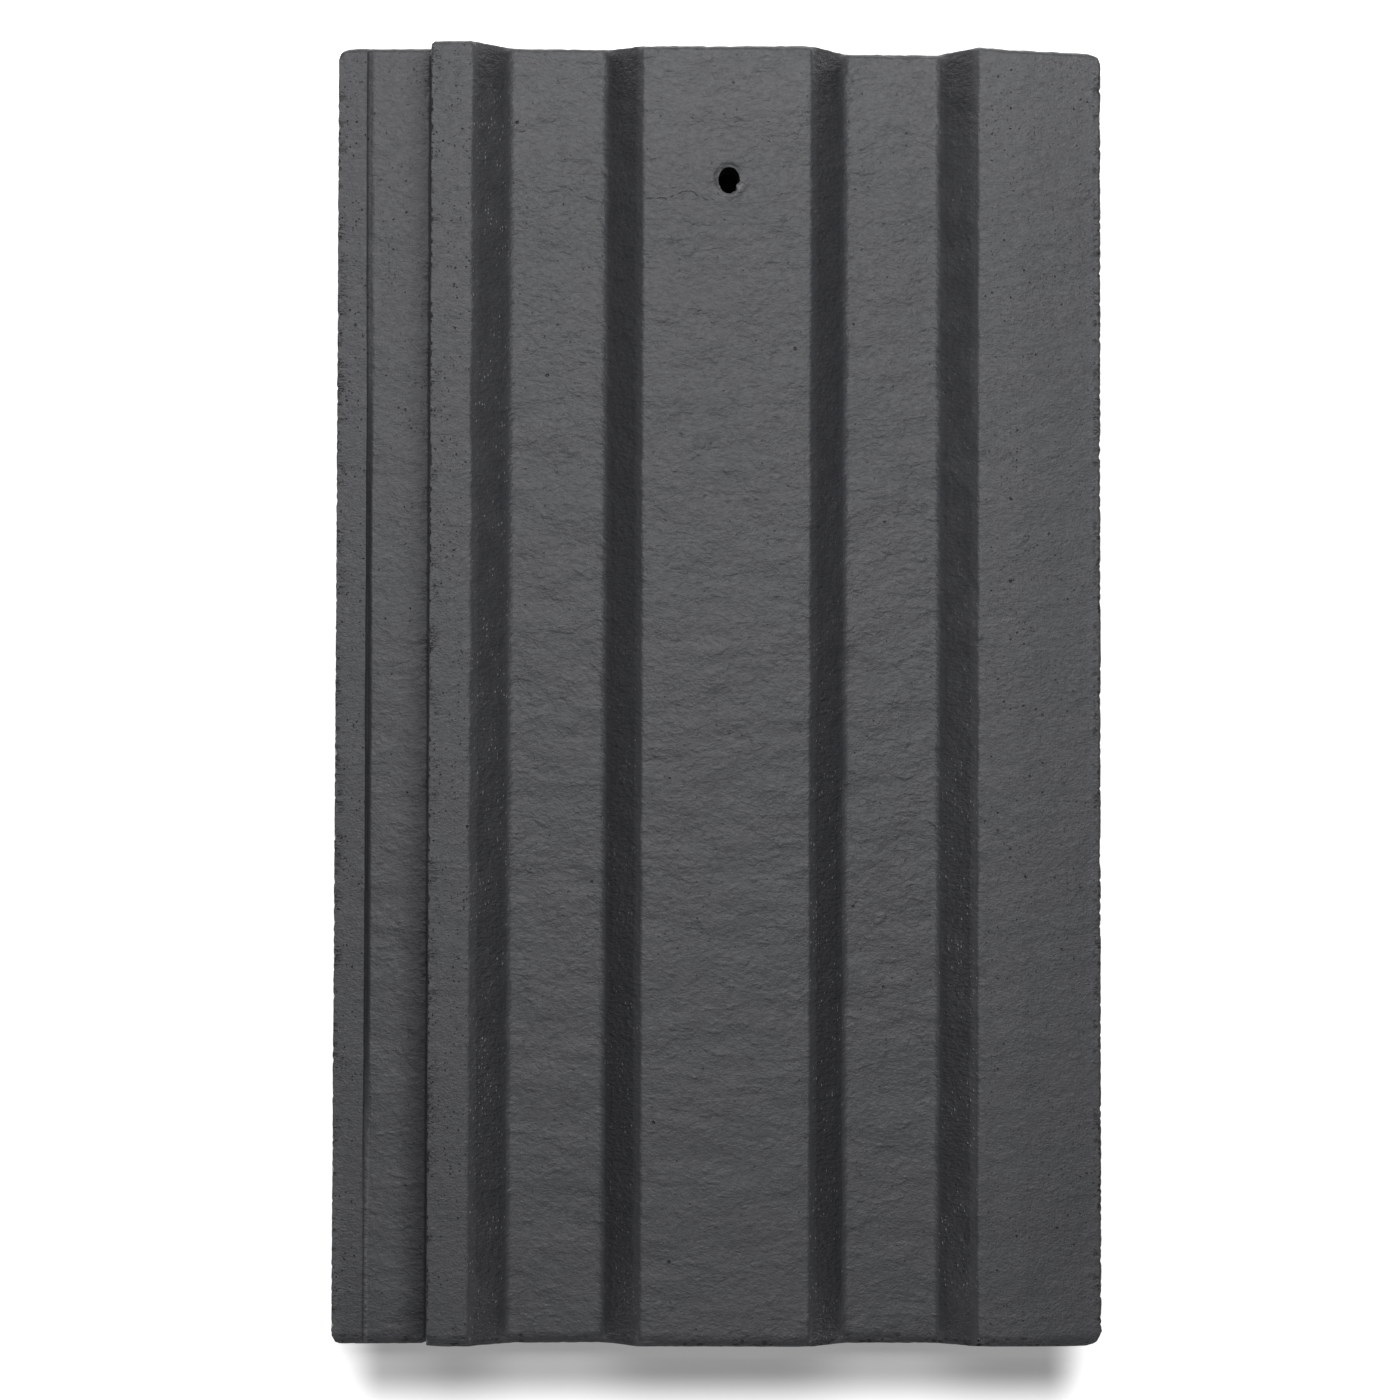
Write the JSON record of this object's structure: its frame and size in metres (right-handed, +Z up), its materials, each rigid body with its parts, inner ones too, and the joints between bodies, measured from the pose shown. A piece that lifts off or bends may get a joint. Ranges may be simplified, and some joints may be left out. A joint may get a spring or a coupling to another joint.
{
  "type": "concrete roof tile",
  "caption": "Interlocking concrete roof tile with two pans, a flat centre rib, a side underlock and cover flap, a nail hole and batten nibs.",
  "frame": {"origin": "middle of the tile's box at its base, on the level surface that it lies on", "axes": "+Y runs along the pans from the tail edge to the head edge, +X runs across from the underlock to the cover flap, and +Z is up. The tile lies on its two nibs and its first weather bar, so its head is tipped up by 1.63 degrees."},
  "size_m": [0.229, 0.3874, 0.0392],
  "materials": {
    "tile": "dark grey painted skin on fine concrete, matt, with wavy extrusion marks and small pits"
  },
  "bodies": {
    "root": {"tile": "tile"}
  },
  "joints": []
}
